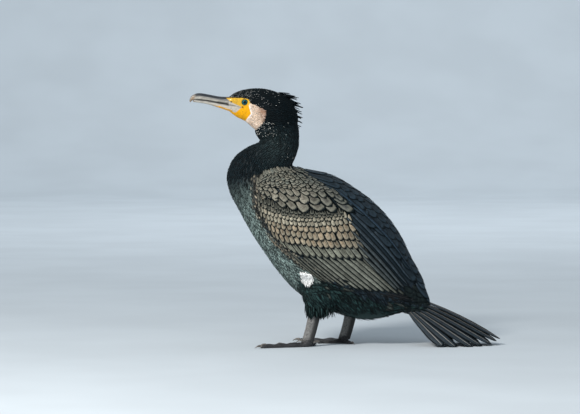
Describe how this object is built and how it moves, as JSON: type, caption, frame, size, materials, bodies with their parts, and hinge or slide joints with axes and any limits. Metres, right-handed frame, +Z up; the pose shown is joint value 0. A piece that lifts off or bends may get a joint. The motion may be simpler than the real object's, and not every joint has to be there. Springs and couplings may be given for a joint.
{
  "type": "cormorant",
  "caption": "Great cormorant standing at rest with folded wings, curved neck, hooked bill, webbed feet and a fanned tail touching the floor.",
  "frame": {"origin": "on the floor under the middle of the bird's length, in its middle plane", "axes": "+Z up; the bird faces -X; its left side is -Y"},
  "size_m": [0.5136, 0.1566, 0.4236],
  "materials": {
    "plumage_head": "short close feathers, black with a faint green gloss and small white flecks",
    "plumage_neck": "short close feathers, black with a blue-green gloss",
    "plumage_body": "scale-like body feathers, black-green and faintly glossy",
    "plumage_wing": "bronze-brown wing feathers with dark glossy edges",
    "plumage_tail": "stiff black tail feathers with paler shafts",
    "plumage_thigh": "soft loose black-green feathers",
    "bill_horn": "horn, pale grey sides with a dark ridge and a brown hooked tip",
    "eye": "wet and glossy, green iris round a black pupil",
    "leg_skin": "scaly grey-black skin",
    "foot_skin": "scaly black skin with webs"
  },
  "bodies": {
    "root": {"head": "plumage_head", "neck_upper": "plumage_neck", "neck_lower": "plumage_neck", "torso": "plumage_body", "wing_left": "plumage_wing", "wing_right": "plumage_wing", "tail": "plumage_tail", "thigh_left": "plumage_thigh", "thigh_right": "plumage_thigh", "bill_upper": "bill_horn", "bill_lower": "bill_horn", "eye_left": "eye", "eye_right": "eye", "tarsus_left": "leg_skin", "tarsus_right": "leg_skin", "foot_left": "foot_skin", "foot_right": "foot_skin"}
  },
  "joints": []
}
